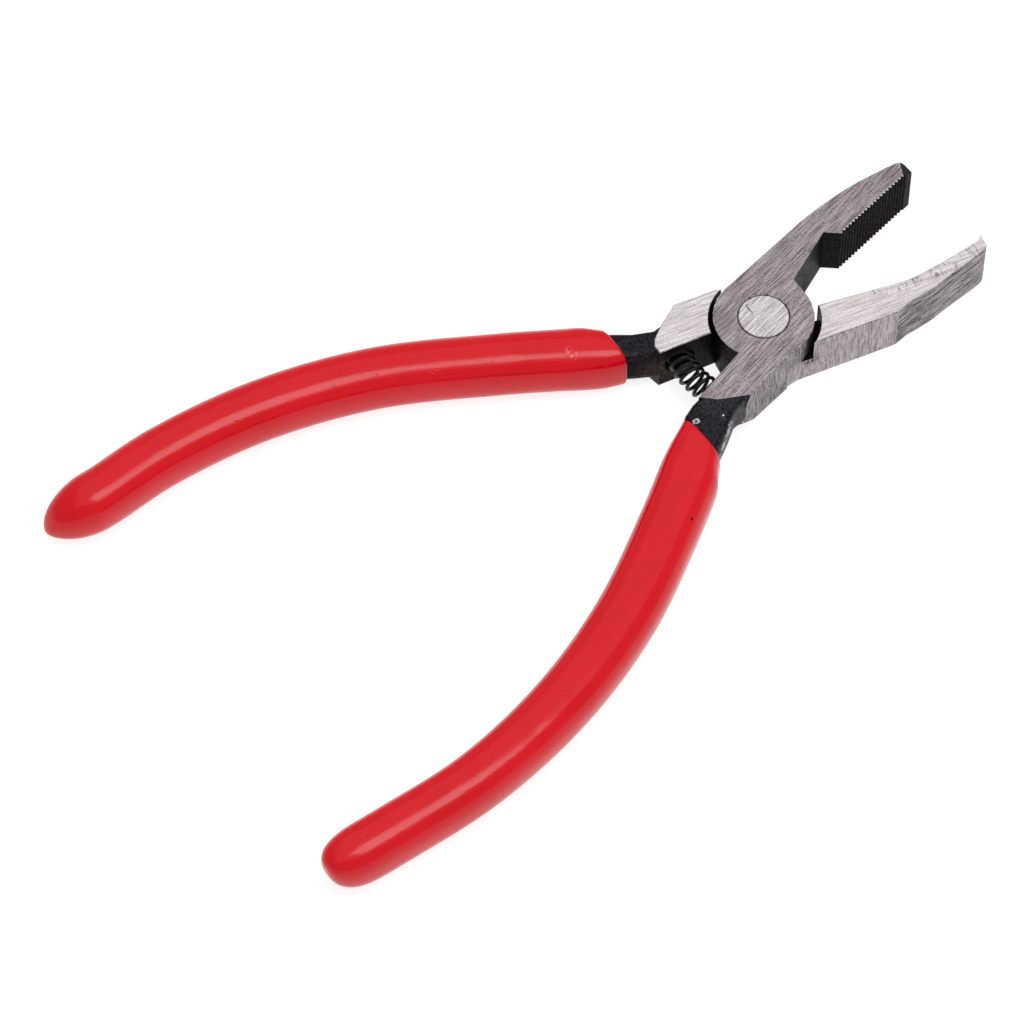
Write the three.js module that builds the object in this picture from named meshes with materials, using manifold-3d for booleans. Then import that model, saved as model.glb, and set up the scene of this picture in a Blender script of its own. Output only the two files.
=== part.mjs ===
// Mosaic glass nippers: breaking and grozing pliers with one flat serrated jaw and one curved jaw.
// Millimetres. The pivot axis is the Z axis, every back face lies on z = 0 and the jaws point along +Y.
// Each lever is drawn with the tool closed, then both are turned apart by half of the opening angle.
import * as THREE from 'three';
import { mergeVertices } from 'three/addons/utils/BufferGeometryUtils.js';
import Module from 'manifold-3d';

const wasm = await Module();
wasm.setup();

// ---------------------------------------------------------------- driving dimensions
const OPENING_DEG = 25.3;        // angle between the levers, from jaws shut to jaws open
const CLEARANCE = 0.3;           // between pieces that would otherwise touch
const FRONT_LEVER_HEIGHT = 10;   // ground front face of the front lever
const BACK_LEVER_HEIGHT = 9.2;   // ground front face of the back lever
const LAP_HEIGHT = 5;            // the lap joint splits the head in half here

const FRONT_BOSS_RADIUS = 8;     // the front lever's disc, in front of the lap
const BACK_BOSS_RADIUS = 7.75;   // the back lever's disc, behind the lap
const FRONT_RECESS_RADIUS = 8.1; // cut in the front lever, round the back lever's disc
const JAW_RECESS_RADIUS = 9.05;  // cut in the back lever's jaw, round the front lever's disc
const SHOULDER_RECESS_RADIUS = 8.65; // the same cut on its handle side

const RIVET_HEAD_RADIUS = 4;
const RIVET_HEAD_HEIGHT = 3;
const RIVET_SHANK_RADIUS = 3;
const RIVET_CLEARANCE = 0.15;

const TOOTH_PITCH = 0.75;
const TOOTH_DEPTH = 0.36;
const TOOTH_CREST_X = -0.76;     // crest line of the serrated gripping face, at its first tooth
const TOOTH_CREST_LEAN = 0.034;  // how far the crest line leans inwards over each millimetre
const TEETH_FROM_Y = 20.5;
const TEETH_COUNT = 21;
const FLAT_JAW_END_Y = 37.7;

const SPRING_WIRE = 0.6;
const SPRING_RADIUS = 1.92;      // to the middle of the wire
const SPRING_ACTIVE_PITCH = 1.35;
const SPRING_END_PITCH = 0.78;
const SPRING_HEIGHT = 5;
const POCKET_RADIUS = 2.6;
const POCKET_DEPTH = 2.75;
// where the spring's line meets each lever's inner wall: distance from the pivot, angle from the -Y axis
const SPRING_AT_FRONT = { radius: 13.7, degrees: 7 };
const SPRING_AT_BACK = { radius: 14, degrees: -3.9 };

const GRIP_HEIGHT = 9.6;         // the sleeves rest on z = 0, level with the levers
const TANG_END_MARGIN = 9;       // the steel stops this far before the sleeve's end
const BOSS_SEGMENTS = 72;
const RIVET_SEGMENTS = 36;
const SECTION_POINTS = 20;

// ---------------------------------------------------------------- materials
const steel = (color, roughness) => new THREE.MeshStandardMaterial({ color, roughness, metalness: 1 });
const frontSteel = steel(0x969090, 0.42);
const backSteel = steel(0xc8c2c0, 0.38);
const rivetSteel = steel(0xcfcaca, 0.35);
const springSteel = steel(0x232125, 0.5);
const redVinyl = new THREE.MeshStandardMaterial({ color: 0xcf2430, roughness: 0.22, metalness: 0 });

// ---------------------------------------------------------------- solids
const radians = THREE.MathUtils.degToRad;
const v2 = (x, y) => new THREE.Vector2(x, y);

function solid(geometry) {
  const bare = geometry.clone();
  bare.deleteAttribute('normal');
  bare.deleteAttribute('uv');
  const merged = mergeVertices(bare, 1e-4);
  return new wasm.Manifold(new wasm.Mesh({
    numProp: 3,
    vertProperties: new Float32Array(merged.attributes.position.array),
    triVerts: new Uint32Array(merged.index.array),
  }));
}

function geometryOf(manifold) {
  const mesh = manifold.getMesh();
  const geometry = new THREE.BufferGeometry();
  geometry.setAttribute('position', new THREE.BufferAttribute(new Float32Array(mesh.vertProperties), 3));
  geometry.setIndex(new THREE.BufferAttribute(new Uint32Array(mesh.triVerts), 1));
  return geometry;
}

function prism(shape, fromZ, toZ, steps = 1) {
  const settings = { depth: toZ - fromZ, bevelEnabled: false, curveSegments: 5, steps };
  return new THREE.ExtrudeGeometry(shape, settings).translate(0, 0, fromZ);
}

function disc(radius, fromZ, toZ, segments = BOSS_SEGMENTS) {
  return new THREE.CylinderGeometry(radius, radius, toZ - fromZ, segments)
    .rotateX(Math.PI / 2)
    .translate(0, 0, (fromZ + toZ) / 2);
}

// A solid of revolution about the Z axis; the profile holds [radius, height] pairs, from bottom to top.
function turned(profile, segments) {
  const points = profile.map(([radius, height]) => v2(radius, height));
  return new THREE.LatheGeometry(points, segments).rotateX(Math.PI / 2);
}

// A closed skin through a row of sections. A section is { x, y, across, half, low, high, square }: its
// centre, the direction of its width in degrees, its half width, its lowest and highest z and its
// superellipse exponent.
function sectionRing({ x, y, across, half, low, high, square }) {
  const ring = [];
  const power = 2 / square;
  const bend = (value) => Math.sign(value) * Math.abs(value) ** power;
  for (let i = 0; i < SECTION_POINTS; i += 1) {
    const angle = (2 * Math.PI * (i + 0.5)) / SECTION_POINTS;
    const side = half * bend(Math.cos(angle));
    const z = (low + high) / 2 + ((high - low) / 2) * bend(Math.sin(angle));
    ring.push([x + side * Math.cos(radians(across)), y + side * Math.sin(radians(across)), z]);
  }
  return ring;
}

function loft(sections) {
  const positions = [];
  const indices = [];
  sections.forEach((section) => positions.push(...sectionRing(section).flat()));
  const last = sections.length - 1;
  for (let s = 0; s < last; s += 1) {
    for (let i = 0; i < SECTION_POINTS; i += 1) {
      const a = s * SECTION_POINTS + i;
      const b = s * SECTION_POINTS + ((i + 1) % SECTION_POINTS);
      indices.push(a, b, a + SECTION_POINTS, b, b + SECTION_POINTS, a + SECTION_POINTS);
    }
  }
  [[0, false], [last, true]].forEach(([s, flip]) => {
    const { x, y, low, high } = sections[s];
    const centre = positions.length / 3;
    positions.push(x, y, (low + high) / 2);
    for (let i = 0; i < SECTION_POINTS; i += 1) {
      const a = s * SECTION_POINTS + i;
      const b = s * SECTION_POINTS + ((i + 1) % SECTION_POINTS);
      indices.push(...(flip ? [centre, a, b] : [centre, b, a]));
    }
  });
  const geometry = new THREE.BufferGeometry();
  geometry.setAttribute('position', new THREE.Float32BufferAttribute(positions, 3));
  geometry.setIndex(indices);
  return geometry;
}

// Moves the vertices that a test picks, to lean a wall or to shorten one end of it.
function shifted(geometry, picks, dx, dy) {
  const position = geometry.attributes.position;
  for (let i = 0; i < position.count; i += 1) {
    const x = position.getX(i);
    const y = position.getY(i);
    if (picks(x, y, position.getZ(i))) position.setXY(i, x + dx, y + dy);
  }
  return geometry;
}

// ---------------------------------------------------------------- handles
const lerp = THREE.MathUtils.lerp;
const ease = THREE.MathUtils.smoothstep;

// One lever's handle: the middle line of its tang and sleeve, from the sleeve's mouth to its end.
class Handle {
  constructor({ line, mouthAcross, mouthHalf, fullHalf, endRound }) {
    this.curve = new THREE.CatmullRomCurve3(line.map(([x, y]) => new THREE.Vector3(x, y, 0)));
    this.length = this.curve.getLength();
    Object.assign(this, { mouthAcross, mouthHalf, fullHalf, endRound });
    this.body = this.length - endRound;
  }

  at(distance) {
    const share = THREE.MathUtils.clamp(distance / this.length, 0, 1);
    const point = this.curve.getPointAt(share);
    const tangent = this.curve.getTangentAt(share);
    const across = THREE.MathUtils.radToDeg(Math.atan2(tangent.x, -tangent.y));
    return { x: point.x, y: point.y, across };
  }

  tangSections(grow) {
    const end = this.length - TANG_END_MARGIN + grow;
    const sections = [];
    for (let i = 0; i <= 11; i += 1) {
      const distance = lerp(5, end, i / 11);
      const slim = ease(distance, 0, end);
      const half = lerp(3.05, 2.5, slim) + grow;
      const low = lerp(1.6, 2.3, slim) - grow;
      const high = lerp(8.4, 7.7, slim) + grow;
      sections.push({ ...this.at(distance), half, low, high, square: 4 });
    }
    return sections;
  }

  sleeveSections() {
    const sections = [];
    const rows = 28;
    for (let i = 0; i <= rows; i += 1) {
      sections.push(this.sleeveSection(this.body * (i / rows) ** 1.25));
    }
    for (let angle = 14; angle < 90; angle += 14) {
      const distance = this.body + this.endRound * Math.sin(radians(angle));
      sections.push(this.sleeveSection(distance, Math.cos(radians(angle))));
    }
    return sections;
  }

  sleeveSection(distance, shrink = 1) {
    const place = this.at(distance);
    const nearMouth = 1 - ease(distance, 0, 9);
    const narrowed = 1 - ease(distance, -3, 8);
    const across = lerp(place.across, this.mouthAcross, nearMouth);
    const full = lerp(this.fullHalf[0], this.fullHalf[1], ease(distance, 25, 80));
    const half = lerp(full, this.mouthHalf, narrowed) * shrink;
    const middle = GRIP_HEIGHT / 2;
    const reach = lerp(middle, 4.4, narrowed) * shrink;
    return { ...place, across, half, low: middle - reach, high: middle + reach, square: 2.5 };
  }
}

const frontHandle = new Handle({
  line: [[6.3, -22.7], [12, -37.5], [17.4, -54.7], [19.8, -72.4], [19, -90], [15.4, -105.5], [12.3, -117]],
  mouthAcross: -12,
  mouthHalf: 4.75,
  fullHalf: [4.9, 4.25],
  endRound: 6,
});
const backHandle = new Handle({
  line: [[-5.63, -23.1], [-11.85, -40.7], [-17.3, -59.5], [-18.9, -77.9], [-17.15, -95],
    [-13.7, -108.5], [-13.3, -116.4]],
  mouthAcross: 10,
  mouthHalf: 3.5,
  fullHalf: [4.6, 4.4],
  endRound: 7.5,
});

// ---------------------------------------------------------------- spring and its pockets
// A place on the spring's line in a lever's closed position, and the direction of the line there.
function springPlace({ radius, degrees }, further) {
  const angle = radians(degrees) + further / radius;
  return {
    x: radius * Math.sin(angle),
    y: -radius * Math.cos(angle),
    degrees: THREE.MathUtils.radToDeg(angle),
  };
}

function springPocket(mouth, side) {
  const middle = springPlace(mouth, (side * POCKET_DEPTH) / 2);
  const outside = 2.5;
  const depth = POCKET_DEPTH + SPRING_WIRE / 2 + CLEARANCE;
  const shift = (side * (depth - POCKET_DEPTH - outside)) / 2;
  return new THREE.CylinderGeometry(POCKET_RADIUS, POCKET_RADIUS, depth + outside, 32)
    .rotateZ(Math.PI / 2)
    .translate(shift, 0, 0)
    .rotateZ(radians(middle.degrees))
    .translate(middle.x, middle.y, SPRING_HEIGHT);
}

// The coil's line bends round the pivot, from the bottom of one pocket to the bottom of the other.
class SpringCoil extends THREE.Curve {
  constructor() {
    super();
    const half = OPENING_DEG / 2;
    this.from = radians(SPRING_AT_BACK.degrees - half) - POCKET_DEPTH / SPRING_AT_BACK.radius;
    this.to = radians(SPRING_AT_FRONT.degrees + half) + POCKET_DEPTH / SPRING_AT_FRONT.radius;
    const length = ((this.to - this.from) * (SPRING_AT_BACK.radius + SPRING_AT_FRONT.radius)) / 2;
    this.endShare = SPRING_END_PITCH / length;
    this.activeTurns = (length - 2 * SPRING_END_PITCH) / SPRING_ACTIVE_PITCH;
    this.turns = this.activeTurns + 2;
  }

  share(turn) {
    if (turn < 1) return turn * this.endShare;
    if (turn > this.turns - 1) return 1 - (this.turns - turn) * this.endShare;
    return this.endShare + ((turn - 1) / this.activeTurns) * (1 - 2 * this.endShare);
  }

  getPoint(t, target = new THREE.Vector3()) {
    const share = this.share(t * this.turns);
    const angle = lerp(this.from, this.to, share);
    const phase = 2 * Math.PI * t * this.turns;
    const middle = lerp(SPRING_AT_BACK.radius, SPRING_AT_FRONT.radius, share);
    const radius = middle + SPRING_RADIUS * Math.cos(phase);
    const height = SPRING_HEIGHT + SPRING_RADIUS * Math.sin(phase);
    return target.set(radius * Math.sin(angle), -radius * Math.cos(angle), height);
  }
}

function springGeometry() {
  const coil = new SpringCoil();
  const sides = 6;
  const corners = [];
  for (let i = 0; i < sides; i += 1) {
    const angle = (2 * Math.PI * i) / sides;
    corners.push(v2(Math.cos(angle), Math.sin(angle)).multiplyScalar(SPRING_WIRE / 2));
  }
  const settings = { extrudePath: coil, steps: Math.round(coil.turns * 14), bevelEnabled: false };
  return new THREE.ExtrudeGeometry(new THREE.Shape(corners), settings);
}

// ---------------------------------------------------------------- rivet
// A turned pin: a wide head let into the front lever, and a back end spread into a countersink.
function rivetProfile(grow, over) {
  const head = RIVET_HEAD_RADIUS + grow;
  const shank = RIVET_SHANK_RADIUS + grow;
  const flare = RIVET_HEAD_RADIUS - RIVET_SHANK_RADIUS;
  const shoulder = FRONT_LEVER_HEIGHT - RIVET_HEAD_HEIGHT - grow;
  return [[0, -over], [head, -over], [head, grow / 2], [shank, flare + grow / 2], [shank, shoulder],
    [head, shoulder], [head, FRONT_LEVER_HEIGHT + over], [0, FRONT_LEVER_HEIGHT + over]]
    .filter(([radius, height], i, all) => i === 0 || radius !== all[i - 1][0] || height !== all[i - 1][1]);
}

const rivetBore = () => solid(turned(rivetProfile(RIVET_CLEARANCE, 1), RIVET_SEGMENTS));

// ---------------------------------------------------------------- front lever
function flatJawShape() {
  const shape = new THREE.Shape();
  shape.moveTo(-1, -1);
  shape.lineTo(-7.95, 0.6);
  shape.lineTo(-7.35, 14.7);
  shape.splineThru([v2(-7.0, 20.1), v2(-5.75, 27.6), v2(-4.1, 33.3), v2(-2.9, 36.8)]);
  shape.lineTo(-2.3, FLAT_JAW_END_Y - 0.25);
  shape.lineTo(-1.7, FLAT_JAW_END_Y);
  const crest = (y) => TOOTH_CREST_X + TOOTH_CREST_LEAN * (y - TEETH_FROM_Y);
  shape.lineTo(crest(FLAT_JAW_END_Y), FLAT_JAW_END_Y);
  for (let i = TEETH_COUNT; i > 0; i -= 1) {
    const top = TEETH_FROM_Y + TOOTH_PITCH * i;
    const root = top - TOOTH_PITCH * 0.42;
    const next = top - TOOTH_PITCH * 0.84;
    shape.lineTo(crest(top), top);
    shape.lineTo(crest(root) - TOOTH_DEPTH, root);
    shape.lineTo(crest(next), next);
  }
  shape.lineTo(TOOTH_CREST_X, TEETH_FROM_Y);
  shape.lineTo(-3.1, 18.75);
  shape.lineTo(-0.95, 8.65);
  shape.lineTo(1.6, 7.8);
  shape.closePath();
  return shape;
}

// The outer wall runs a little past the face's corner below it, and its lowest corner is drawn back.
function frontShoulder() {
  const corners = [v2(1.1, -5), v2(1.34, -8.3), v2(2, -18.4), v2(4.4, -16.8), v2(7.8, -12.65),
    v2(7.62, -1), v2(5, -1)];
  const block = prism(new THREE.Shape(corners), 0, FRONT_LEVER_HEIGHT, 4);
  const atCorner = (x, y) => x > 7 && y < -10;
  shifted(block, (x, y, z) => atCorner(x, y) && z < 1, -0.55, 1.75);
  shifted(block, (x, y, z) => atCorner(x, y) && z > 2 && z < 3, -0.5, -1.05);
  shifted(block, (x, y, z) => atCorner(x, y) && z > 4 && z < 6, -0.45, -1.05);
  return shifted(block, (x, y, z) => atCorner(x, y) && z > 7 && z < 8, -0.07, -0.95);
}

const frontNeck = [
  { x: 4.5, y: -10, across: 0, half: 2.7, low: 0.8, high: 9.2, square: 4 },
  { x: 4.75, y: -15.8, across: 41, half: 3.75, low: 2.6, high: 9.9, square: 7 },
  { x: 4.6, y: -17.9, across: 32, half: 3.4, low: 3, high: 9.3, square: 6.5 },
  { x: 5.15, y: -20.2, across: 20, half: 3.7, low: 2, high: 8.8, square: 4 },
];

// The front corner at the tip is ground off in a small flat.
function tipChamfer() {
  const size = 8;
  return new THREE.BoxGeometry(size, size, size)
    .translate(size / 2, 0, size / 2)
    .rotateY(radians(34))
    .rotateZ(radians(50))
    .translate(-1.9, 36.9, FRONT_LEVER_HEIGHT);
}

function frontLever() {
  const lap = LAP_HEIGHT + CLEARANCE / 2;
  const made = solid(prism(flatJawShape(), 0, FRONT_LEVER_HEIGHT))
    .add(solid(frontShoulder()))
    .subtract(solid(disc(FRONT_RECESS_RADIUS, -1, lap)))
    .add(solid(disc(FRONT_BOSS_RADIUS, lap, FRONT_LEVER_HEIGHT)))
    .add(solid(loft([...frontNeck, ...frontHandle.tangSections(0)])))
    .subtract(solid(tipChamfer()))
    .subtract(solid(springPocket(SPRING_AT_FRONT, 1)))
    .subtract(rivetBore());
  return geometryOf(made);
}

// ---------------------------------------------------------------- back lever
function curvedJawShape() {
  const shape = new THREE.Shape();
  shape.moveTo(0.9, 5);
  shape.lineTo(1.04, 9.28);
  shape.splineThru([v2(1.75, 16.6), v2(2.38, 24.1), v2(1.64, 30.1), v2(0.75, 35)]);
  shape.lineTo(0.2, 37.4);
  shape.lineTo(-0.75, 38.45);
  shape.lineTo(1.6, 38.45);
  shape.splineThru([v2(2.55, 36.9), v2(4.4, 30.7), v2(5.7, 26.7), v2(6.5, 22.5)]);
  shape.lineTo(7.4, 20.1);
  shape.lineTo(7.4, 15);
  shape.lineTo(7.25, 5.5);
  shape.lineTo(7.2, 1);
  shape.lineTo(5, 1);
  shape.closePath();
  return shape;
}

function backShoulder() {
  const corners = [v2(-6.6, -1.4), v2(-7.4, -2.7), v2(-8.25, -4.6), v2(-8.25, -11.7), v2(-5.8, -14.9),
    v2(-3.4, -17.3), v2(-2.3, -17.8), v2(-0.75, -17.6), v2(-0.98, -8.3), v2(-1.1, -5)];
  const block = prism(new THREE.Shape(corners), 0, BACK_LEVER_HEIGHT);
  return shifted(block, (x, y, z) => z < 1 && x < -2 && y < -17, -0.5, -0.55);
}

const backNeck = [
  { x: -4.3, y: -10, across: 0, half: 2.7, low: 0.8, high: 8.6, square: 4 },
  { x: -3.75, y: -15.4, across: -41, half: 3.5, low: 1.4, high: 9.1, square: 7 },
  { x: -3.5, y: -17.7, across: -32, half: 2.45, low: 1.6, high: 8.7, square: 6.5 },
  { x: -4.35, y: -20.6, across: -20, half: 2.65, low: 1.6, high: 8.5, square: 4 },
];

function backLever() {
  const lap = LAP_HEIGHT - CLEARANCE / 2;
  const above = BACK_LEVER_HEIGHT + 1;
  const jaw = solid(prism(curvedJawShape(), 0, BACK_LEVER_HEIGHT))
    .subtract(solid(disc(JAW_RECESS_RADIUS, lap, above)));
  const shoulder = solid(backShoulder())
    .subtract(solid(disc(SHOULDER_RECESS_RADIUS, lap, above)));
  const made = jaw.add(shoulder)
    .add(solid(disc(BACK_BOSS_RADIUS, 0, lap)))
    .add(solid(loft([...backNeck, ...backHandle.tangSections(0)])))
    .subtract(solid(springPocket(SPRING_AT_BACK, -1)))
    .subtract(rivetBore());
  return geometryOf(made);
}

// ---------------------------------------------------------------- sleeves
// A dipped sleeve, closed at its end and open at the mouth, that wraps the tang all the way.
function sleeve(handle, neck) {
  const wider = ({ half, low, high, ...rest }) => (
    { ...rest, half: half + CLEARANCE, low: low - CLEARANCE, high: high + CLEARANCE });
  const hollow = loft([wider(neck[neck.length - 1]), ...handle.tangSections(CLEARANCE)]);
  return geometryOf(solid(loft(handle.sleeveSections())).subtract(solid(hollow)));
}

// ---------------------------------------------------------------- the tool
function part(name, geometry, material) {
  const mesh = new THREE.Mesh(geometry, material);
  mesh.name = name;
  return mesh;
}

const nippers = new THREE.Group();

const frontSide = new THREE.Group();
frontSide.rotation.z = radians(OPENING_DEG / 2);
frontSide.add(part('front_lever', frontLever(), frontSteel));
frontSide.add(part('front_grip', sleeve(frontHandle, frontNeck), redVinyl));
frontSide.add(part('pivot_rivet', turned(rivetProfile(0, 0), RIVET_SEGMENTS), rivetSteel));

const backSide = new THREE.Group();
backSide.rotation.z = -radians(OPENING_DEG / 2);
backSide.add(part('back_lever', backLever(), backSteel));
backSide.add(part('back_grip', sleeve(backHandle, backNeck), redVinyl));

nippers.add(frontSide, backSide, part('return_spring', springGeometry(), springSteel));

export default nippers;
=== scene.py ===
"""Mosaic glass nippers, seen from above on a pale table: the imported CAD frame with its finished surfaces.

Metres. The pivot axis is Z and the jaws point along +Y. Each lever is described in its own closed frame,
where it lies when the jaws are shut; at rest it is turned from there by half of the opening.
"""

import math

import bmesh
import bpy
import numpy as np
from mathutils import Matrix, Vector


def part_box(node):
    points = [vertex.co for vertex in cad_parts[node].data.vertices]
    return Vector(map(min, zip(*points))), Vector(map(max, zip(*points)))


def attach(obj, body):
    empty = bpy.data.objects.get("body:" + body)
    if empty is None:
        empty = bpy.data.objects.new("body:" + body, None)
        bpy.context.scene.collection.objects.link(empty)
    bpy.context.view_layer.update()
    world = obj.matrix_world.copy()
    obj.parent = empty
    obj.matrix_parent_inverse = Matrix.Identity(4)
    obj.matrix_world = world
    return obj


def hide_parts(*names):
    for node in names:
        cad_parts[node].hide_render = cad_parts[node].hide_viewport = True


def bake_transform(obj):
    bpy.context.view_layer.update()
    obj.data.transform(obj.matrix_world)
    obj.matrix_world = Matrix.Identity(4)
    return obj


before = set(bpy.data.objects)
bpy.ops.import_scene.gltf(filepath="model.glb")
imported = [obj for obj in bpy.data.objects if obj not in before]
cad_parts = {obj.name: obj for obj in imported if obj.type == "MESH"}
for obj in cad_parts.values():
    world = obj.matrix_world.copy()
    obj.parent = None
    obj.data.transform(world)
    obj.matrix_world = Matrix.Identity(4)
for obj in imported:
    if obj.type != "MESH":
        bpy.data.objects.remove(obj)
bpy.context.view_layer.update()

# ---------------------------------------------------------------- driving values
MM = 0.001
HALF_OPENING = math.radians(12.65)      # each lever's turn from closed to rest
FRONT_TURN = Matrix.Rotation(HALF_OPENING, 4, "Z")
BACK_TURN = Matrix.Rotation(-HALF_OPENING, 4, "Z")

FRONT_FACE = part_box("front_lever")[1].z
SLEEVE_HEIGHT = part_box("front_grip")[1].z

RIVET_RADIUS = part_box("pivot_rivet")[1].x
RIVET_SHANK = 3 * MM                    # radius
RIVET_HEAD = 3 * MM                     # thickness
RIVET_EDGE = 0.12 * MM                  # the chamfer round both ends
RIVET_SIDES = 128

SPRING_WIRE = 0.6 * MM
SPRING_RADIUS = 1.92 * MM               # of the coils, to the middle of the wire
SPRING_HEIGHT = 5 * MM                  # of its axis
SPRING_ACTIVE_PITCH = 1.35 * MM
SPRING_END_PITCH = 0.78 * MM
SPRING_INTO_POCKET = 2.75 * MM
SPRING_AT_FRONT = (13.7 * MM, math.radians(7) + HALF_OPENING)      # distance from the pivot, angle from -Y
SPRING_AT_BACK = (14 * MM, math.radians(-3.9) - HALF_OPENING)
SPRING_STEPS = 40                       # per turn
SPRING_SIDES = 14

CHAMFER = 0.14 * MM                     # the broken edge of a ground face
WELD = 0.02 * MM                        # CAD corners closer than this are one
FLAT_ENOUGH = math.radians(0.8)         # facets that meet at less than this are one face
LEAST_BROKEN_BEND = math.radians(28)
LEAST_BROKEN_LENGTH = 0.25 * MM
CREASE = math.radians(34)               # steel that bends more than this has a sharp edge
RIVET_CREASE = math.radians(30)


# ---------------------------------------------------------------- objects
def add_object(name, data, body):
    piece = bpy.data.objects.new(name, data)
    bpy.context.scene.collection.objects.link(piece)
    if body:
        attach(piece, body)
    return piece


def mesh_from(name, vertices, faces, smooth):
    mesh = bpy.data.meshes.new(name)
    mesh.from_pydata([tuple(v) for v in vertices], [], faces)
    mesh.update()
    mesh.polygons.foreach_set("use_smooth", [smooth] * len(mesh.polygons))
    return mesh


def skin(rings):
    """Vertices and faces of a closed skin through equal rings of points."""
    count = len(rings[0])
    vertices = [point for ring in rings for point in ring]
    faces = []
    for row in range(len(rings) - 1):
        for i in range(count):
            a = row * count + i
            b = row * count + (i + 1) % count
            faces.append((a, b, b + count, a + count))
    for ring, flip in ((0, True), (len(rings) - 1, False)):
        centre = len(vertices)
        vertices.append(sum((Vector(p) for p in rings[ring]), Vector()) / count)
        for i in range(count):
            a = ring * count + i
            b = ring * count + (i + 1) % count
            faces.append((centre, b, a) if flip else (centre, a, b))
    return vertices, faces


def skin_mesh(name, rings, material, crease=None):
    """A closed skin as a smooth mesh, with sharp edges where it bends by the crease angle or more."""
    mesh = mesh_from(name, *skin(rings), smooth=True)
    bm = bmesh.new()
    bm.from_mesh(mesh)
    bmesh.ops.recalc_face_normals(bm, faces=bm.faces)
    if crease:
        for edge in bm.edges:
            edge.smooth = edge.calc_face_angle() < crease
    bm.to_mesh(mesh)
    bm.free()
    mesh.materials.append(material)
    return mesh


# ---------------------------------------------------------------- material nodes
class Graph:
    """A material's node tree, with short calls for the nodes that these materials share.

    A noise runs from 0 to 1 but crowds round 0.5, so a range such as 0.4 to 0.6 of it takes most of its
    contrast, and a narrow one away from the middle picks out its rarer marks.
    """

    def __init__(self, name):
        self.material = bpy.data.materials.new(name)
        self.material.use_nodes = True
        self.tree = self.material.node_tree
        self.shader = self.tree.nodes["Principled BSDF"]
        self.place = self.add("ShaderNodeTexCoord").outputs["Object"]

    def add(self, kind, **settings):
        node = self.tree.nodes.new(kind)
        for key, value in settings.items():
            setattr(node, key, value)
        return node

    def wire(self, value, socket):
        if isinstance(value, bpy.types.NodeSocket):
            self.tree.links.new(value, socket)
        else:
            socket.default_value = value

    def shade(self, **inputs):
        for name, value in inputs.items():
            self.wire(value, self.shader.inputs[name.replace("_", " ")])

    def grain(self, turn, scale):
        """Object coordinates turned into a lever's closed frame, scaled along its axes in turns per metre."""
        mapping = self.add("ShaderNodeMapping", vector_type="POINT")
        self.wire(self.place, mapping.inputs["Vector"])
        mapping.inputs["Rotation"].default_value = (0, 0, -turn)
        stretch = self.add("ShaderNodeVectorMath", operation="MULTIPLY")
        self.wire(mapping.outputs["Vector"], stretch.inputs[0])
        stretch.inputs[1].default_value = scale
        return stretch.outputs["Vector"]

    def closed_axis(self, turn, letter):
        """A coordinate of a lever's closed frame, in metres."""
        node = self.add("ShaderNodeSeparateXYZ")
        self.wire(self.grain(turn, (1, 1, 1)), node.inputs["Vector"])
        return node.outputs[letter]

    def noise(self, vector, scale=1.0, detail=3.0, rough=0.5):
        node = self.add("ShaderNodeTexNoise", noise_dimensions="3D")
        self.wire(vector, node.inputs["Vector"])
        node.inputs["Scale"].default_value = scale
        node.inputs["Detail"].default_value = detail
        node.inputs["Roughness"].default_value = rough
        return node.outputs["Fac"]

    def range(self, value, low, high, to_low=0.0, to_high=1.0, smooth=False):
        node = self.add("ShaderNodeMapRange", interpolation_type="SMOOTHSTEP" if smooth else "LINEAR")
        self.wire(value, node.inputs["Value"])
        sockets = ("From Min", "From Max", "To Min", "To Max")
        for socket, number in zip(sockets, (low, high, to_low, to_high)):
            self.wire(number, node.inputs[socket])
        return node.outputs["Result"]

    def mix(self, factor, a, b, mode="MIX"):
        node = self.add("ShaderNodeMix", data_type="RGBA", blend_type=mode)
        self.wire(factor, node.inputs["Factor"])
        self.wire(colour(a), node.inputs["A"])
        self.wire(colour(b), node.inputs["B"])
        return node.outputs["Result"]

    def math(self, operation, a, b=0.0, clamp=False):
        node = self.add("ShaderNodeMath", operation=operation, use_clamp=clamp)
        self.wire(a, node.inputs[0])
        self.wire(b, node.inputs[1])
        return node.outputs["Value"]

    def distance(self, point):
        """How far the surface is from a point of the rest frame, in metres."""
        node = self.add("ShaderNodeVectorMath", operation="DISTANCE")
        self.wire(self.place, node.inputs[0])
        node.inputs[1].default_value = point
        return node.outputs["Value"]

    def near(self, point, inner, outer):
        """1 within inner of a point, falling to 0 at outer; all in metres, in the rest frame."""
        return self.range(self.distance(point), inner, outer, 1.0, 0.0, smooth=True)

    def bump(self, height, depth):
        node = self.add("ShaderNodeBump")
        self.wire(height, node.inputs["Height"])
        node.inputs["Distance"].default_value = depth
        node.inputs["Strength"].default_value = 1.0
        return node.outputs["Normal"]


def colour(value):
    """An sRGB triple from 0 to 255 as the linear colour of a socket; sockets pass through."""
    if isinstance(value, bpy.types.NodeSocket) or not hasattr(value, "__len__"):
        return value
    return tuple((c / 255) ** 2.2 for c in value[:3]) + (1.0,)


# ---------------------------------------------------------------- materials
GRAIN_LONG = (4500, 190, 2800)           # lines along the lever, in turns per metre
GRAIN_UPRIGHT = (4400, 4400, 400)        # lines from face to face on the ground edges
GRAIN_LONG_EDGE = (330, 240, 3300)       # lines along the lever on the ground edges
FINE_SHARE = 0.62                        # how much each size of mark adds to the grain
BROAD_SHARE = 0.12
SPECKLE_SHARE = 0.26
BROAD_SCALE = 0.35                       # the broad streaks' scale beside the fine lines'

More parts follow.
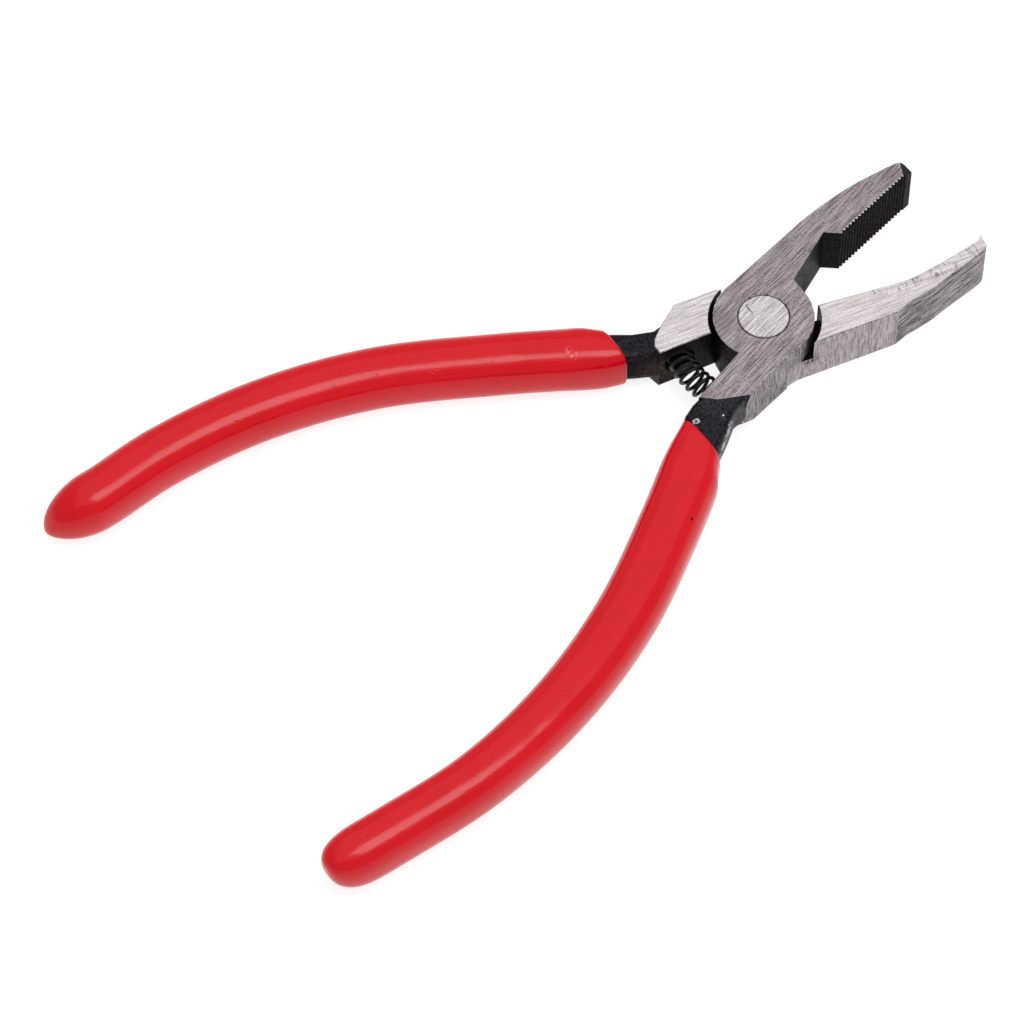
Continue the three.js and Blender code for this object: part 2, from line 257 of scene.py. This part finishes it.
BURNISHED = (214, 206, 210)
STAINED = (26, 22, 25)
CROSS_MARKED = (74, 66, 70)
SCRATCHED = (58, 50, 56)
POLISHED = ((112, 106, 110), (206, 198, 206))        # darkest and lightest, as in the next ones
WORN_STEEL = (172, 166, 170)
WARM_SCALE = (50, 38, 31)
VINYL = ((201, 6, 24), (207, 8, 30))
DUST_PIT = (96, 14, 18)
GRIMY = (40, 8, 12)
# painted highlight: the pale pink that the scuffs' scratches catch from the lamp
SCUFF_HIGHLIGHT = (232, 110, 112)
WIRE = ((12, 11, 13), (36, 34, 38))
PAPER = ((150, 150, 150), (156, 156, 156))


def ground_steel(name, turn, dark, light, roughness, grain_scale, ticks=None, stains=(), scratch=None,
                 burnish=None):
    """A face finished on a belt: fine lines along the grain, broad darker streaks and a few stains.

    ticks, in the lever's closed frame, is the (lowest y, highest y) of the cross marks that a wheel left.
    burnish is (x, y, lean) of a line in that frame: a strip along it is brighter, from y outwards.
    stains holds (point, radius, depth) triples and scratch is (centre, radius, middle, reach), in the rest
    frame, in metres.
    """
    g = Graph(name)
    fine = g.noise(g.grain(turn, grain_scale), detail=1, rough=0.8)
    broad = g.noise(g.grain(turn, tuple(s * BROAD_SCALE for s in grain_scale)), detail=2)
    patches = g.noise(g.place, scale=160, detail=4)
    speckle = g.noise(g.place, scale=2600, detail=1, rough=0.7)
    streak = g.math("ADD", g.math("MULTIPLY", fine, FINE_SHARE), g.math("MULTIPLY", broad, BROAD_SHARE))
    streak = g.math("ADD", streak, g.math("MULTIPLY", speckle, SPECKLE_SHARE))
    base = g.mix(g.range(streak, 0.4, 0.6), dark, light)
    finish = g.mix(g.range(patches, 0.52, 0.75, 0.0, 0.3), base, [c * 0.78 for c in dark])
    height = fine
    if burnish:
        finish = g.mix(g.math("MULTIPLY", bright_strip(g, turn, *burnish), 0.8), finish, BURNISHED)
    for point, radius, depth in stains:
        ragged = g.math("MULTIPLY", g.near(point, radius * 0.3, radius), g.range(speckle, 0.42, 0.56))
        finish = g.mix(g.math("MULTIPLY", ragged, depth), finish, STAINED)
    if ticks:
        marks = cross_marks(g, turn, *ticks)
        finish = g.mix(g.math("MULTIPLY", marks, 0.6), finish, CROSS_MARKED)
        height = g.math("SUBTRACT", fine, marks)
    if scratch:
        finish = g.mix(g.math("MULTIPLY", arc_scratch(g, *scratch), 0.85), finish, SCRATCHED)
    g.shade(Base_Color=finish, Metallic=1.0)
    g.shade(Roughness=g.range(streak, 0.4, 0.6, roughness + 0.07, roughness - 0.05))
    g.shade(Normal=g.bump(height, 0.012 * MM))
    return g.material


def bright_strip(g, turn, x, y, lean):
    """A narrow strip inside the line through (x, y) that leans by that share of its length."""
    starts_at, full_from, fades_over = 0.4 * MM, 0.15 * MM, 0.5 * MM
    along = g.math("SUBTRACT", g.closed_axis(turn, "Y"), y)
    away = g.math("SUBTRACT", g.closed_axis(turn, "X"), g.math("MULTIPLY", along, lean))
    inside = g.range(away, x - starts_at, x - full_from)
    return g.math("MULTIPLY", inside, g.range(along, 0, fades_over))


def cross_marks(g, turn, low, high):
    """Short dark strokes across a jaw near its inner edge, in bunches, from low to high along it."""
    dense_to, none_from = 3.6 * MM, 4.6 * MM
    strokes = g.noise(g.grain(turn, (520, 4200, 60)), detail=1)
    bunches = g.noise(g.grain(turn, (110, 260, 0)), detail=1)
    along = g.closed_axis(turn, "Y")
    begin = g.range(along, low, low + 2 * MM)
    stop = g.range(along, high - 1 * MM, high, 1.0, 0.0)
    inward = g.range(g.closed_axis(turn, "X"), dense_to, none_from, 1.0, 0.0)
    reach = g.math("MULTIPLY", g.math("MULTIPLY", begin, stop), inward)
    drawn = g.math("MULTIPLY", g.range(strokes, 0.56, 0.61), g.range(bunches, 0.47, 0.55))
    return g.math("MULTIPLY", drawn, reach)


def arc_scratch(g, centre, radius, middle, reach):
    """A thin arc of a circle, kept within reach of its middle."""
    away = g.math("ABSOLUTE", g.math("SUBTRACT", g.distance(centre), radius))
    line = g.range(away, 0.06 * MM, 0.13 * MM, 1.0, 0.0)
    return g.math("MULTIPLY", line, g.near(middle, 0.9 * reach, reach))


def black_oxide(name, base, tint, tint_share, specular=0.15, rubs=(), strip=(), warm_at=None):
    """Blackened forging scale: near black, finely pitted, rubbed down to steel in places.

    rubs holds (point, radius, radius of the pit in its middle) and strip holds (point, radius) pairs along a
    ragged worn edge; warm_at is one such pair, where the scale is browner. All are in the rest frame.
    """
    g = Graph(name)
    cloud = g.noise(g.place, scale=220, detail=5)
    pits = g.noise(g.place, scale=2100, detail=2, rough=0.7)
    tinted = g.mix(g.range(cloud, 0.42, 0.7, 0.0, tint_share), base, tint)
    if warm_at:
        point, radius = warm_at
        tinted = g.mix(g.near(point, 0.2 * radius, radius), tinted, WARM_SCALE)
    scale = g.mix(1.0, tinted, g.range(pits, 0.3, 0.7, 0.25, 1.9), mode="MULTIPLY")
    rubbed = 0.0
    for point, radius, pit in rubs:
        ragged = g.math("ADD", g.near(point, radius * 0.3, radius), g.range(pits, 0.3, 0.7, -0.45, 0.45))
        spot = g.math("SUBTRACT", g.range(ragged, 0.5, 0.7), g.near(point, pit * 0.4, pit), clamp=True)
        rubbed = g.math("MAXIMUM", rubbed, spot)
    if strip:
        worn = 0.0
        for point, radius in strip:
            worn = g.math("MAXIMUM", worn, g.near(point, radius * 0.5, radius))
        torn = g.range(g.noise(g.place, scale=900, detail=4, rough=0.75), 0.46, 0.53, 0.0, 0.95)
        rubbed = g.math("MAXIMUM", rubbed, g.math("MULTIPLY", worn, torn))
    g.shade(Base_Color=g.mix(rubbed, scale, WORN_STEEL), Metallic=rubbed)
    g.shade(Roughness=g.range(cloud, 0.3, 0.7, 0.36, 0.52), Normal=g.bump(pits, 0.03 * MM))
    g.shade(Specular_IOR_Level=specular)     # what is left where the pits' share of it can't be carried
    g.shade(Specular_IOR_Level=g.range(pits, 0.32, 0.68, 0.3 * specular, 1.6 * specular))
    return g.material


def polished_edge():
    """The thin rim where handling has polished a ground edge."""
    g = Graph("polished_edge")
    nicks = g.noise(g.place, scale=1500, detail=2)
    g.shade(Base_Color=g.mix(g.range(nicks, 0.35, 0.6), *POLISHED), Metallic=1.0)
    g.shade(Roughness=g.range(nicks, 0.3, 0.7, 0.42, 0.3), Normal=g.bump(nicks, 0.02 * MM))
    return g.material


def red_vinyl():
    """Dipped PVC: glossy, evenly red, with faint runs along the sleeve, dust pits and a few scuffs, whose
    scratches are painted in the pale pink of a painted highlight.
    """
    g = Graph("red_vinyl")
    runs = g.noise(g.place, scale=90, detail=2)
    pits = g.noise(g.place, scale=1500, detail=1)
    ragged = g.noise(g.place, scale=1700, detail=2)
    base = g.mix(g.range(runs, 0.35, 0.65), *VINYL)
    finish = g.mix(g.range(pits, 0.2, 0.235, 0.55, 0.0), base, DUST_PIT)
    for point, radius in GRIME:
        finish = g.mix(g.near(point, radius * 0.5, radius), finish, GRIMY)
    # real scratches, painted pale pink as a painted highlight on them
    for point, radius in SCUFFS_WITH_HIGHLIGHT:
        torn = g.math("MULTIPLY", g.near(point, radius * 0.3, radius), g.range(ragged, 0.54, 0.58))
        finish = g.mix(g.math("MULTIPLY", torn, 0.8), finish, SCUFF_HIGHLIGHT)
    g.shade(Base_Color=finish, Roughness=g.range(runs, 0.3, 0.7, 0.15, 0.22), Specular_IOR_Level=0.3)
    g.shade(Normal=g.bump(g.math("ADD", runs, g.range(pits, 0.2, 0.3, -0.12, 0.0)), 0.25 * MM))
    return g.material


def spring_black():
    """Oiled spring wire with drawing marks."""
    g = Graph("spring_wire")
    marks = g.noise(g.place, scale=3000, detail=2)
    g.shade(Base_Color=g.mix(g.range(marks, 0.35, 0.7), *WIRE), Metallic=0.5)
    g.shade(Roughness=g.range(marks, 0.3, 0.7, 0.34, 0.46), Normal=g.bump(marks, 0.01 * MM))
    return g.material


def table_top():
    """Pale paper with faint fibres, which glows a little so that it stays white."""
    g = Graph("table_top")
    fibre = g.noise(g.place, scale=900, detail=3)
    g.shade(Base_Color=g.mix(g.range(fibre, 0.3, 0.7), *PAPER), Roughness=0.8)
    g.shade(Specular_IOR_Level=0.1, Emission_Color=(1, 1, 1, 1), Emission_Strength=TABLE_GLOW)
    return g.material


# ---------------------------------------------------------------- marks and wear
def in_rest(turn, x, y, z):
    """A point of a lever's closed frame, given in millimetres, at its place in the rest frame."""
    return turn @ (Vector((x, y, z)) * MM)


# radii are in metres; the third number of a rub is its pit's radius, that of a stain or a tear is its depth
FRONT_RUBS = [
    (in_rest(FRONT_TURN, 4.1, -21.5, 8.7), 0.85 * MM, 0.3 * MM),     # a chip beside the sleeve's mouth
    (in_rest(FRONT_TURN, 6.7, -18, 9), 0.24 * MM, 0.01 * MM),        # a speck in the middle of the neck
]
FRONT_WORN_LINE = [(8.1, -18.1, 7.4), (8.4, -18.9, 6.9), (8.8, -19.8, 6.6), (9.15, -20.7, 6.3),
                   (9.45, -21.6, 5.9), (9.7, -22.4, 5.2)]
FRONT_WORN = [(in_rest(FRONT_TURN, *point), 1.15 * MM) for point in FRONT_WORN_LINE]
FRONT_STAINS = [(in_rest(FRONT_TURN, -4.5, -4.9, 10), 3 * MM, 0.4)]
FRONT_TORN = [(in_rest(FRONT_TURN, 8, 0.3, 6.6), 1.8 * MM, 0.9)]
BACK_TORN = [(in_rest(BACK_TURN, 7.2, 5, 4.5), 2.1 * MM, 0.9)]
BACK_WARM = (in_rest(BACK_TURN, -2.4, -16.8, 4), 5 * MM)
BACK_TICKS = (15 * MM, 37.5 * MM)                                    # least and greatest y
TEETH_LINE = (-0.76 * MM, 20.5 * MM, 0.034)                          # x, y and lean
RIVET_SCRATCH = (in_rest(FRONT_TURN, -1.95, 1.66, 10), 2.3 * MM,     # centre and radius of the arc
                 in_rest(FRONT_TURN, -2.68, -0.52, 10), 1 * MM)      # its middle and its reach from there
GRIME = [
    (in_rest(FRONT_TURN, 15.0, -35.7, 8.6), 0.35 * MM),
    (in_rest(FRONT_TURN, 20.9, -48.8, 5.6), 0.3 * MM),
    (in_rest(BACK_TURN, -8.4, -44.5, 2.9), 0.4 * MM),
]
# scratches on the back sleeve, painted in the pale pink of their painted highlight
SCUFFS_WITH_HIGHLIGHT = [(in_rest(BACK_TURN, -6.2, -30.6, 9.3), 1.6 * MM)]


# ---------------------------------------------------------------- levers
# the finishes of a lever, which are its material slots in this order
FACE, SIDE, FAR_SIDE, EDGE, NECK, WALL = range(6)
FIRST_DARK = NECK
FLAT = 0.98                             # the least upright part of a ground face's normal


def lever_piece(name, node, body, turn, sort_face, materials):
    """The CAD lever with its edges broken and each face sorted into its finish."""
    into_closed = turn.inverted()
    bm = bmesh.new()
    bm.from_mesh(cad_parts[node].data)
    bmesh.ops.remove_doubles(bm, verts=bm.verts, dist=WELD)
    bmesh.ops.dissolve_limit(bm, angle_limit=FLAT_ENOUGH, verts=bm.verts, edges=bm.edges)
    bm.normal_update()
    for face in bm.faces:
        centre = into_closed @ face.calc_center_median()
        face.material_index = sort_face(centre / MM, into_closed.to_3x3() @ face.normal)
        face.smooth = True
    edges = [e for e in bm.edges if to_break(e, into_closed)]
    made = bmesh.ops.bevel(bm, geom=edges, offset=CHAMFER, offset_type="OFFSET", segments=1, profile=0.5,
                           affect="EDGES", clamp_overlap=False, material=-1)
    broken = set(made["faces"])
    ground = {f for f in bm.faces if f not in broken and f.material_index < FIRST_DARK}
    for face in broken:
        face.smooth = True
        if any(other in ground for edge in face.edges for other in edge.link_faces):
            face.material_index = EDGE
    for edge in bm.edges:
        edge.smooth = not (edge.is_manifold and edge.calc_face_angle() > CREASE)
    mesh = bpy.data.meshes.new(name)
    bm.to_mesh(mesh)
    bm.free()
    for material in materials:
        mesh.materials.append(material)
    piece = add_object(name, mesh, body)
    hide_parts(node)
    weighted = piece.modifiers.new("flat_faces", "WEIGHTED_NORMAL")
    weighted.keep_sharp = True


def to_break(edge, into_closed):
    """Whether an edge is chamfered: those round the ground faces are, except along the teeth."""
    if not edge.is_manifold or edge.calc_face_angle() < LEAST_BROKEN_BEND:
        return False
    if edge.calc_length() < LEAST_BROKEN_LENGTH:
        return False
    kinds = [face.material_index for face in edge.link_faces]
    if FACE not in kinds and max(kinds) >= FIRST_DARK:
        return False
    middle = into_closed @ ((edge.verts[0].co + edge.verts[1].co) / 2)
    on_teeth = abs(middle.x) < 1.4 * MM and middle.y > 20 * MM
    return not on_teeth


# a face is sorted by its centre, in millimetres, and its normal, both in its lever's closed frame
def sort_front(centre, normal):
    """The front lever is ground on its flats and outside its shoulder and jaw; the rest is black."""
    x, y, z = centre
    flat = abs(normal.z) > FLAT and (z > 9.9 or z < 0.1)
    outside_shoulder = normal.x > 0.7 and x > 7 and y > -14
    outside_jaw = normal.x < -0.3 and x < -2.2 and y > -0.5
    jaw_tapers = y >= 17
    upright_head = y > -9 and normal.z < 0.3
    faces_inward = normal.x < -0.9
    if flat:
        return FACE
    if outside_shoulder:
        return SIDE
    if outside_jaw:
        return FAR_SIDE if jaw_tapers else SIDE
    return WALL if upright_head or faces_inward else NECK


def sort_back(centre, normal):
    """The back lever is ground on its flats, outside its shoulder and jaw, and across its tip."""
    x, y, z = centre
    flat = abs(normal.z) > FLAT and (z > 9.1 or z < 0.1)
    outside_jaw = normal.x > 0.3 and x > 1.2 and y > 0
    jaw_bends = y >= 19.2
    tip = normal.y > 0.6 and y > 37
    outside_shoulder = normal.x < -0.7 and x < -6.4 and -15 < y < 0
    head = y > -9
    faces_inward = normal.x > 0.9
    if flat:
        return FACE
    if outside_jaw:
        return FAR_SIDE if jaw_bends else SIDE
    if tip or outside_shoulder:
        return SIDE
    return WALL if head or faces_inward else NECK


# ---------------------------------------------------------------- sleeves
def centripetal(points, steps):
    """Even steps along a flat centripetal Catmull-Rom curve through the given points, and its length."""
    samples = 60
    points = [Vector((x, y, 0)) for x, y in points]
    ends = [2 * points[0] - points[1], *points, 2 * points[-1] - points[-2]]
    dense = []
    for a, b, c, d in zip(ends, ends[1:], ends[2:], ends[3:]):
        t = [0.0]
        for p, q in ((a, b), (b, c), (c, d)):
            t.append(t[-1] + (q - p).length ** 0.5)
        for i in range(samples):
            u = t[1] + (t[2] - t[1]) * i / samples
            ab = a.lerp(b, (u - t[0]) / (t[1] - t[0]))
            bc = b.lerp(c, (u - t[1]) / (t[2] - t[1]))
            cd = c.lerp(d, (u - t[2]) / (t[3] - t[2]))
            abc = ab.lerp(bc, (u - t[0]) / (t[2] - t[0]))
            bcd = bc.lerp(cd, (u - t[1]) / (t[3] - t[1]))
            dense.append(abc.lerp(bcd, (u - t[1]) / (t[2] - t[1])))
    dense.append(points[-1])
    length = [0.0]
    for p, q in zip(dense, dense[1:]):
        length.append(length[-1] + (q - p).length)
    even = np.linspace(0, length[-1], steps + 1)
    xs = np.interp(even, length, [p.x for p in dense])
    ys = np.interp(even, length, [p.y for p in dense])
    return [Vector((x, y, 0)) for x, y in zip(xs, ys)], length[-1]


def ease(value, low, high):
    """0 up to low and 1 from high on, smoothly."""
    t = min(1.0, max(0.0, (value - low) / (high - low)))
    return t * t * (3 - 2 * t)


def mixed(a, b, share):
    return a + (b - a) * share


class Sleeve:
    """A dipped sleeve in its lever's closed frame, in millimetres until it is built.

    line is its middle, from the mouth to the end, and mouth_across is the mouth's slant in degrees.
    mouth_half is the half width at the mouth and full_half holds those before and after the bend.
    taper is how far the mouth's narrowing goes, end_round is the length of the rounded end, blunt is how
    square that end is and droop is how far its tip sinks.
    """

    STEPS = 400
    SIDES = 64
    RINGS = 110
    LIP_RINGS = 6
    END_RINGS = 24
    LIP = 0.5                            # radius of the mouth's rim
    INSIDE = ((2.2, 1.5), (0.9, 1.35), (0.35, 1.1))     # depth and inset of the rings behind the rim
    MOUTH_RISE = 4.4                     # half height at the mouth
    MOUTH_REACH = 9                      # how far the mouth's slant and squareness go
    TAPER_FROM = -3
    BEND = (25, 80)                      # where the width changes along the handle
    SQUARE = (2.5, 3.1)                  # exponents of the section: along the handle, at the mouth

    def __init__(self, line, mouth_across, mouth_half, full_half, taper, end_round, blunt, droop):
        self.points, self.length = centripetal(line, self.STEPS)
        self.mouth_across = mouth_across
        self.mouth_half = mouth_half
        self.full_half = full_half
        self.taper = taper
        self.end_round = end_round
        self.blunt = blunt
        self.droop = droop
        self.body = self.length - end_round

    def at(self, distance):
        """The middle's point at a distance from the mouth, and the direction across it in degrees."""
        share = min(self.STEPS, max(0.0, distance / self.length * self.STEPS))
        i = min(int(share), self.STEPS - 1)
        tangent = (self.points[i + 1] - self.points[i]).normalized()
        place = self.points[i].lerp(self.points[i + 1], share - i)
        return place, math.degrees(math.atan2(tangent.x, -tangent.y))

    def ring(self, distance, shrink=1.0, inset=0.0, sink=0.0):
        place, across = self.at(distance)
        near_mouth = 1 - ease(distance, 0, self.MOUTH_REACH)
        narrowed = 1 - ease(distance, self.TAPER_FROM, self.taper)
        across = math.radians(mixed(across, self.mouth_across, near_mouth))
        full = mixed(*self.full_half, ease(distance, *self.BEND))
        half = mixed(full, self.mouth_half, narrowed) * shrink - inset
        middle = SLEEVE_HEIGHT / MM / 2
        reach = mixed(middle, self.MOUTH_RISE, narrowed) * shrink - inset
        middle -= sink
        square = mixed(*self.SQUARE, near_mouth)
        ring = []
        for i in range(self.SIDES):
            angle = 2 * math.pi * (i + 0.5) / self.SIDES
            c, s = math.cos(angle), math.sin(angle)
            side = half * math.copysign(abs(c) ** (2 / square), c)
            z = middle + reach * math.copysign(abs(s) ** (2 / square), s)
            x, y = place.x + side * math.cos(across), place.y + side * math.sin(across)
            ring.append(Vector((x, y, z)) * MM)
        return ring

    def rings(self):
        rings = [self.ring(depth, inset=inset) for depth, inset in self.INSIDE]
        for i in range(self.LIP_RINGS + 1):
            angle = math.radians(90 * i / self.LIP_RINGS)
            rings.append(self.ring(self.LIP * (1 - math.cos(angle)), inset=self.LIP * (1 - math.sin(angle))))
        for i in range(1, self.RINGS + 1):
            rings.append(self.ring(mixed(self.LIP, self.body, i / self.RINGS)))
        for i in range(1, self.END_RINGS):
            along = math.sin(math.radians(90 * i / self.END_RINGS))
            shrink = (1 - along ** self.blunt) ** (1 / self.blunt)
            distance = self.body + self.end_round * along
            rings.append(self.ring(distance, shrink, sink=self.droop * (1 - shrink)))
        return rings


FRONT_SLEEVE = Sleeve(
    line=[(6.3, -22.7), (12, -37.5), (17.4, -54.7), (19.8, -72.4), (19, -90), (15.4, -105.5), (12.2, -117)],
    mouth_across=-12, mouth_half=4.75, full_half=(4.9, 4.25), taper=7, end_round=8, blunt=2.5, droop=-1.8)

BACK_SLEEVE = Sleeve(
    line=[(-5.63, -23.1), (-11.85, -40.7), (-17.3, -59.5), (-18.9, -77.9), (-17.15, -95), (-13.7, -108.5),
          (-13.3, -116.4)],
    mouth_across=10, mouth_half=3.5, full_half=(4.5, 4.4), taper=4, end_round=8.5, blunt=1.85, droop=2.4)


def sleeve_piece(name, sleeve, node, body, turn, material):
    rings = [[turn @ point for point in ring] for ring in sleeve.rings()]
    piece = add_object(name, skin_mesh(name, rings, material), body)
    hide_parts(node)


# ---------------------------------------------------------------- spring
def on_spring_arc(end, further):
    """A point of the spring's axis, or beyond it on the same arc."""
    radius, angle = end
    angle += further / radius
    return Vector((radius * math.sin(angle), -radius * math.cos(angle), SPRING_HEIGHT))


def spring_piece(material):
    """A round-wire compression spring whose line bends round the pivot, with closed ends in both pockets."""
    first = SPRING_AT_BACK[1] - SPRING_INTO_POCKET / SPRING_AT_BACK[0]
    last = SPRING_AT_FRONT[1] + SPRING_INTO_POCKET / SPRING_AT_FRONT[0]
    length = (last - first) * (SPRING_AT_BACK[0] + SPRING_AT_FRONT[0]) / 2
    active = (length - 2 * SPRING_END_PITCH) / SPRING_ACTIVE_PITCH
    turns = active + 2
    end_share = SPRING_END_PITCH / length

    def centre(turn):
        if turn < 1:
            share = turn * end_share
        elif turn > turns - 1:
            share = 1 - (turns - turn) * end_share
        else:
            share = end_share + (turn - 1) / active * (1 - 2 * end_share)
        angle = mixed(first, last, share)
        phase = 2 * math.pi * turn
        radius = mixed(SPRING_AT_BACK[0], SPRING_AT_FRONT[0], share) + SPRING_RADIUS * math.cos(phase)
        return Vector((radius * math.sin(angle), -radius * math.cos(angle),
                       SPRING_HEIGHT + SPRING_RADIUS * math.sin(phase)))

    steps = int(turns * SPRING_STEPS)
    line = [centre(turns * i / steps) for i in range(steps + 1)]
    rings = []
    side = Vector((0, 0, 1))
    for i, point in enumerate(line):
        tangent = (line[min(i + 1, steps)] - line[max(i - 1, 0)]).normalized()
        side = (side - side.dot(tangent) * tangent).normalized()
        other = tangent.cross(side)
        rings.append([point + (side * math.cos(a) + other * math.sin(a)) * SPRING_WIRE / 2
                      for a in (2 * math.pi * k / SPRING_SIDES for k in range(SPRING_SIDES))])
    piece = add_object("coil_spring", skin_mesh("coil_spring", rings, material), None)
    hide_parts("return_spring")
    beyond = SPRING_INTO_POCKET + 2 * MM
    on_spring_arc(SPRING_AT_BACK, -beyond)
    on_spring_arc(SPRING_AT_FRONT, beyond)
    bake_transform(piece)


# ---------------------------------------------------------------- rivet
def rivet_piece(material):
    """The turned pin: a wide head flush with the front face, a shank, and a spread back end."""
    head, shank, top, edge = RIVET_RADIUS, RIVET_SHANK, FRONT_FACE, RIVET_EDGE
    flare = head - shank
    shoulder = top - RIVET_HEAD
    profile = [(head - edge, 0), (head, edge), (head, 2 * edge), (shank, flare + edge),
               (shank, shoulder - edge), (shank + edge, shoulder), (head - edge, shoulder),
               (head, shoulder + edge), (head, top - edge), (head - edge, top)]
    angles = [2 * math.pi * k / RIVET_SIDES for k in range(RIVET_SIDES)]
    rings = [[Vector((r * math.cos(a), r * math.sin(a), z)) for a in angles] for r, z in profile]
    mesh = skin_mesh("rivet_pin", rings, material, crease=RIVET_CREASE)
    piece = add_object("rivet_pin", mesh, "front_half")
    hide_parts("pivot_rivet")


# ---------------------------------------------------------------- stage
CAMERA_AZIMUTH = math.radians(53.4)
CAMERA_ELEVATION = math.radians(57.6)
CAMERA_LENS = 186.33                    # millimetres, on a sensor 36 wide
CAMERA_DISTANCE = 0.8321                # from the pivot, along the view
CAMERA_LEFT = 0.03953                   # of the pivot
CAMERA_DOWN = 0.03076

TABLE_HALF = 3
TABLE_BELOW = 0.05 * MM                 # the tool's lowest face
TABLE_GLOW = 0.8
WORLD_STRENGTH = 0.55
LIT_CENTRE = Vector((0, -0.04, 0))
KEY_PLACE = Vector((0.2, 0.1, 0.85))    # from the lit centre, as the next one is
OVERHEAD_PLACE = Vector((-0.1, 0.1, 1.4))


def camera_axes(azimuth, elevation):
    right = Vector((math.cos(azimuth), math.sin(azimuth), 0))
    ahead = Vector((-math.sin(azimuth), math.cos(azimuth), 0))
    back = -ahead * math.cos(elevation) + Vector((0, 0, math.sin(elevation)))
    return right, back.cross(right), back


def add_camera():
    """Looks down at the tool from its lower right; the pivot sits right of the middle and above it."""
    right, up, back = camera_axes(CAMERA_AZIMUTH, CAMERA_ELEVATION)
    data = bpy.data.cameras.new("camera")
    data.sensor_width = 36
    data.lens = CAMERA_LENS
    data.clip_start = 0.05
    data.clip_end = 10
    camera = bpy.data.objects.new("camera", data)
    bpy.context.scene.collection.objects.link(camera)
    pivot = Vector((0, 0, FRONT_FACE))
    place = pivot + back * CAMERA_DISTANCE - right * CAMERA_LEFT - up * CAMERA_DOWN
    camera.matrix_world = Matrix.Translation(place) @ Matrix((right, up, back)).transposed().to_4x4()
    bpy.context.scene.camera = camera


def area_light(name, offset, size, power):
    data = bpy.data.lights.new(name, "AREA")
    data.shape = "RECTANGLE"
    data.size, data.size_y = size
    data.energy = power
    light = bpy.data.objects.new(name, data)
    bpy.context.scene.collection.objects.link(light)
    light.location = LIT_CENTRE + offset
    light.rotation_euler = (-offset).to_track_quat("-Z", "Y").to_euler()


def add_lights():
    area_light("key", KEY_PLACE, size=(0.42, 0.5), power=2.75)
    area_light("overhead", OVERHEAD_PLACE, size=(2.2, 2.2), power=8)


def add_stage():
    half = TABLE_HALF
    corners = [(-half, -half, 0), (half, -half, 0), (half, half, 0), (-half, half, 0)]
    floor = bpy.data.objects.new("table", mesh_from("table", corners, [(0, 1, 2, 3)], smooth=False))
    bpy.context.scene.collection.objects.link(floor)
    floor.location.z = -TABLE_BELOW
    floor.data.materials.append(table_top())
    world = bpy.data.worlds.new("studio")
    world.use_nodes = True
    background = world.node_tree.nodes["Background"]
    background.inputs["Color"].default_value = (1, 1, 1, 1)
    background.inputs["Strength"].default_value = WORLD_STRENGTH
    bpy.context.scene.world = world
    bpy.context.scene.view_settings.view_transform = "Standard"


# ---------------------------------------------------------------- the tool
# darkest colour, lightest colour and roughness of each ground finish
FRONT_FACE_STEEL = ((110, 100, 103), (182, 171, 175), 0.4)
FRONT_SIDE_STEEL = ((76, 69, 72), (156, 148, 152), 0.42)
FRONT_FAR_SIDE_STEEL = ((78, 71, 74), (154, 146, 150), 0.4)
BACK_FACE_STEEL = ((186, 177, 178), (234, 227, 228), 0.38)
BACK_SIDE_STEEL = ((128, 119, 120), (178, 169, 170), 0.42)
BACK_FAR_SIDE_STEEL = ((60, 54, 57), (160, 152, 155), 0.4)
RIVET_STEEL = ((168, 160, 164), (232, 226, 230), 0.36)
# colour, tint and the tint's share of each black finish
NECK_BLACK = ((25, 24, 30), (44, 36, 38), 0.3)
# painted shade: the walls and inward faces are the neck's black scale painted darker and with a third of its
# shine, for the shade between the levers and in the pockets
WALL_BLACK_PAINTED_SHADE = ((12, 6, 12), (38, 20, 30), 0.6)
WALL_SHADE_SPECULAR = 0.05


def front_finishes():
    turn = HALF_OPENING
    return [
        ground_steel("front_face_steel", turn, *FRONT_FACE_STEEL, GRAIN_LONG, stains=FRONT_STAINS,
                     burnish=TEETH_LINE),
        ground_steel("front_side_steel", turn, *FRONT_SIDE_STEEL, GRAIN_UPRIGHT, stains=FRONT_TORN),
        ground_steel("front_far_side_steel", turn, *FRONT_FAR_SIDE_STEEL, GRAIN_LONG_EDGE),
        polished_edge(),
        black_oxide("front_neck_black", *NECK_BLACK, rubs=FRONT_RUBS, strip=FRONT_WORN),
        # painted shade: the front lever's walls take a darker, duller copy of its black
        black_oxide("front_wall_painted_shade_black", *WALL_BLACK_PAINTED_SHADE, WALL_SHADE_SPECULAR),
    ]


def back_finishes():
    turn = -HALF_OPENING
    return [
        ground_steel("back_face_steel", turn, *BACK_FACE_STEEL, GRAIN_LONG, ticks=BACK_TICKS),
        ground_steel("back_side_steel", turn, *BACK_SIDE_STEEL, GRAIN_UPRIGHT, stains=BACK_TORN),
        ground_steel("back_far_side_steel", turn, *BACK_FAR_SIDE_STEEL, GRAIN_LONG_EDGE),
        polished_edge(),
        black_oxide("back_neck_black", *NECK_BLACK, warm_at=BACK_WARM),
        # painted shade: the back lever's walls take a darker, duller copy of its black
        black_oxide("back_wall_painted_shade_black", *WALL_BLACK_PAINTED_SHADE, WALL_SHADE_SPECULAR, warm_at=BACK_WARM),
    ]


def build():
    lever_piece("front_forging", "front_lever", "front_half", FRONT_TURN, sort_front, front_finishes())
    lever_piece("back_forging", "back_lever", "back_half", BACK_TURN, sort_back, back_finishes())
    rivet_piece(ground_steel("rivet_steel", HALF_OPENING, *RIVET_STEEL, GRAIN_LONG, scratch=RIVET_SCRATCH))
    vinyl = red_vinyl()
    sleeve_piece("front_sleeve", FRONT_SLEEVE, "front_grip", "front_half", FRONT_TURN, vinyl)
    sleeve_piece("back_sleeve", BACK_SLEEVE, "back_grip", "back_half", BACK_TURN, vinyl)
    spring_piece(spring_black())


build()
add_stage()
add_camera()
add_lights()
